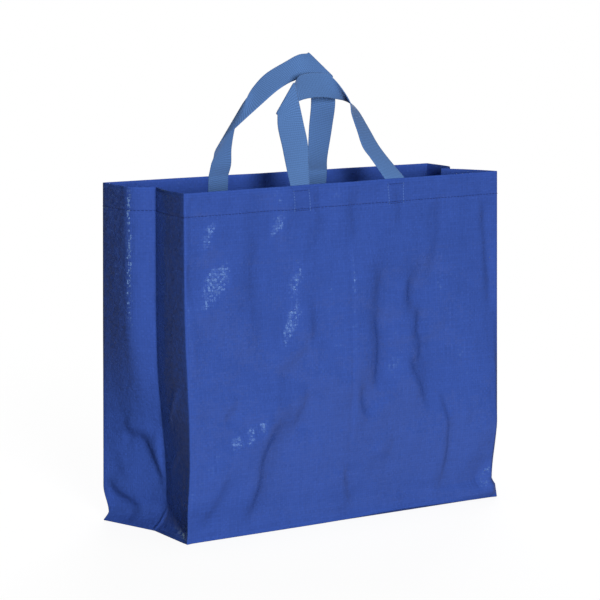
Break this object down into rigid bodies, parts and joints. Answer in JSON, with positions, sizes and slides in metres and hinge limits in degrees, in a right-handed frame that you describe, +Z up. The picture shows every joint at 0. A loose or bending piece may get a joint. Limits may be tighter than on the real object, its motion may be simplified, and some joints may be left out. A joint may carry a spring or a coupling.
{
  "type": "laminated shopping bag",
  "caption": "Open-topped tote of glossy laminated woven sheet with a flat base, folded side gussets, a turned hem and flat webbing loop handles.",
  "frame": {"origin": "on the floor, under the middle of the bag's box", "axes": "+Z up, towards the handles; +X along the wide front panel, to the right seen from the front; the front panel faces -Y"},
  "size_m": [0.4, 0.1507, 0.4712],
  "materials": {
    "laminate": "clear film over woven tape fabric, glossy with a fine weave relief",
    "webbing": "matte, fine cross ribs"
  },
  "bodies": {
    "root": {"bag_body": "laminate", "front_handle": "webbing", "back_handle": "webbing"}
  },
  "joints": []
}
